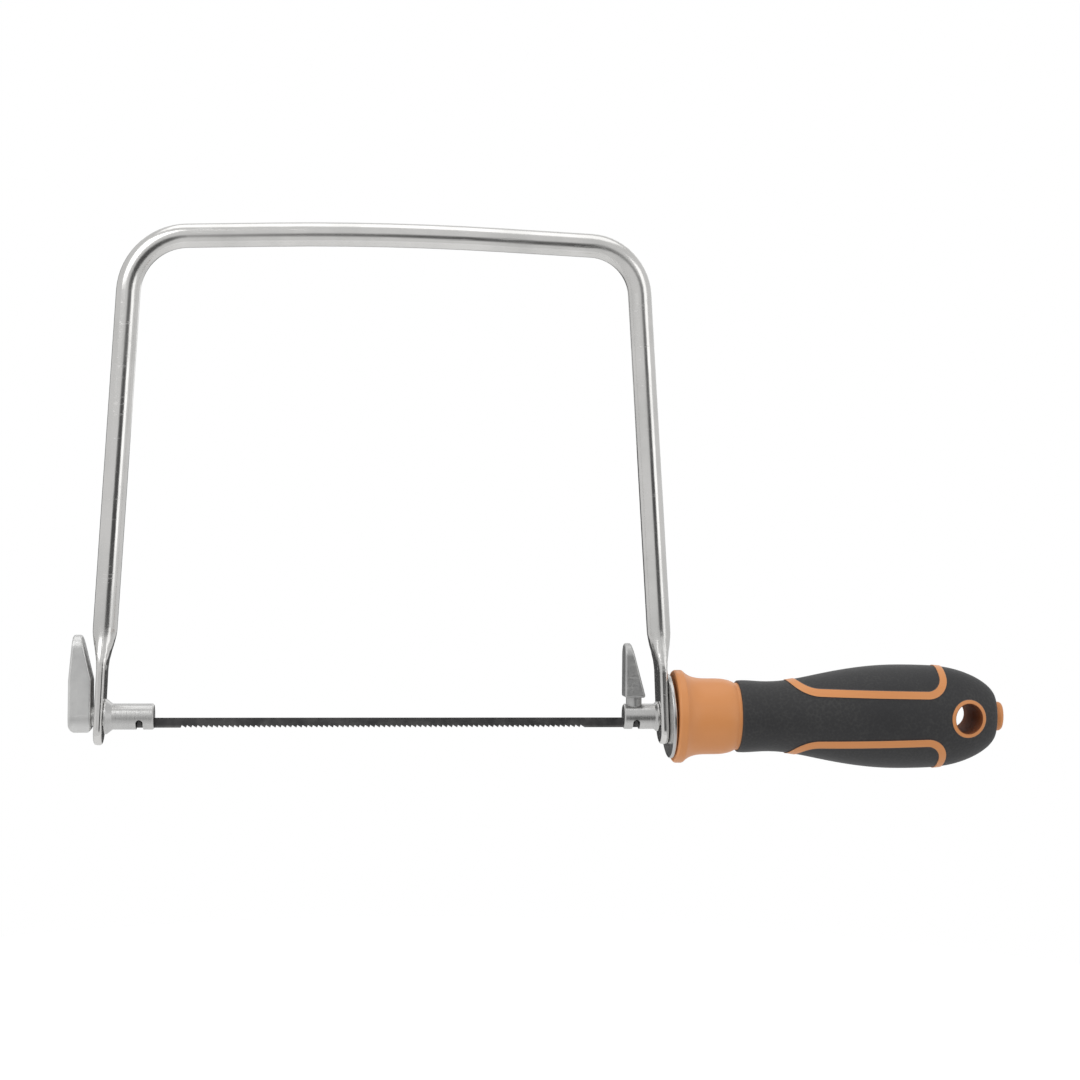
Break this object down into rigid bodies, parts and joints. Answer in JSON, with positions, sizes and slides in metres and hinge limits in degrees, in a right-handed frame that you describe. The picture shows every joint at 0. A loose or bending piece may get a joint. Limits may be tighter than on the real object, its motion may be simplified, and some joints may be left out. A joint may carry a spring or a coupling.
{
  "type": "coping saw",
  "caption": "Coping saw with a deep round-rod frame, a pinned blade held in turning slotted holders with levers, and an oval two-tone screw handle.",
  "frame": {"origin": "middle of the hanging hole, on the handle's and the blade holders' common axis", "axes": "+X from the blade to the handle's butt, +Y along the hanging hole, +Z from the blade to the frame's back"},
  "size_m": [0.3099, 0.0308, 0.1791],
  "materials": {
    "frame_plate": "bright nickel plate on drawn steel rod",
    "holder_steel": "turned and plated steel",
    "lever_steel": "forged and plated, satin",
    "blade_steel": "dark hardened strip",
    "disc_plate": "pressed and plated steel",
    "insert_steel": "turned hexagon steel",
    "orange_plastic": "hard moulded, semi-gloss",
    "black_grip": "soft moulded grip, matt, fine texture"
  },
  "bodies": {
    "frame": {"frame": "frame_plate"},
    "front_holder": {"front_spindle": "holder_steel", "front_lever": "lever_steel"},
    "rear_holder": {"rear_spindle": "holder_steel", "rear_lever": "lever_steel"},
    "blade": {"blade": "blade_steel", "blade_pin_front": "holder_steel", "blade_pin_rear": "holder_steel"},
    "thrust_disc": {"thrust_disc": "disc_plate"},
    "handle": {"handle_core": "orange_plastic", "grip_sleeve": "black_grip", "grip_pad_top": "black_grip", "grip_pad_bottom": "black_grip", "thread_insert": "insert_steel"}
  },
  "joints": [
    {"name": "blade_angle", "type": "hinge", "parent": "frame", "child": "front_holder", "pos_m": [-0.2854, 0, 0], "axis": [1, 0, 0], "continuous": true},
    {"name": "rear_holder_turn", "type": "hinge", "parent": "frame", "child": "rear_holder", "pos_m": [-0.10145, 0, 0], "axis": [1, 0, 0], "continuous": true},
    {"name": "blade_release", "type": "slide", "parent": "front_holder", "child": "blade", "axis": [0, 0, -1], "range_m": [0, 0.01]},
    {"name": "disc_travel", "type": "slide", "parent": "frame", "child": "thrust_disc", "axis": [1, 0, 0], "range_m": [0, 0.005]},
    {"name": "handle_screw", "type": "hinge", "parent": "thrust_disc", "child": "handle", "pos_m": [-0.098, 0, 0], "axis": [1, 0, 0], "range_deg": [0, 1800]}
  ],
  "couplings": [
    {"joint": "rear_holder_turn", "follows": "blade_angle", "ratio": 1},
    {"joint": "disc_travel", "follows": "handle_screw", "m_per_rad": 0.00015915}
  ]
}
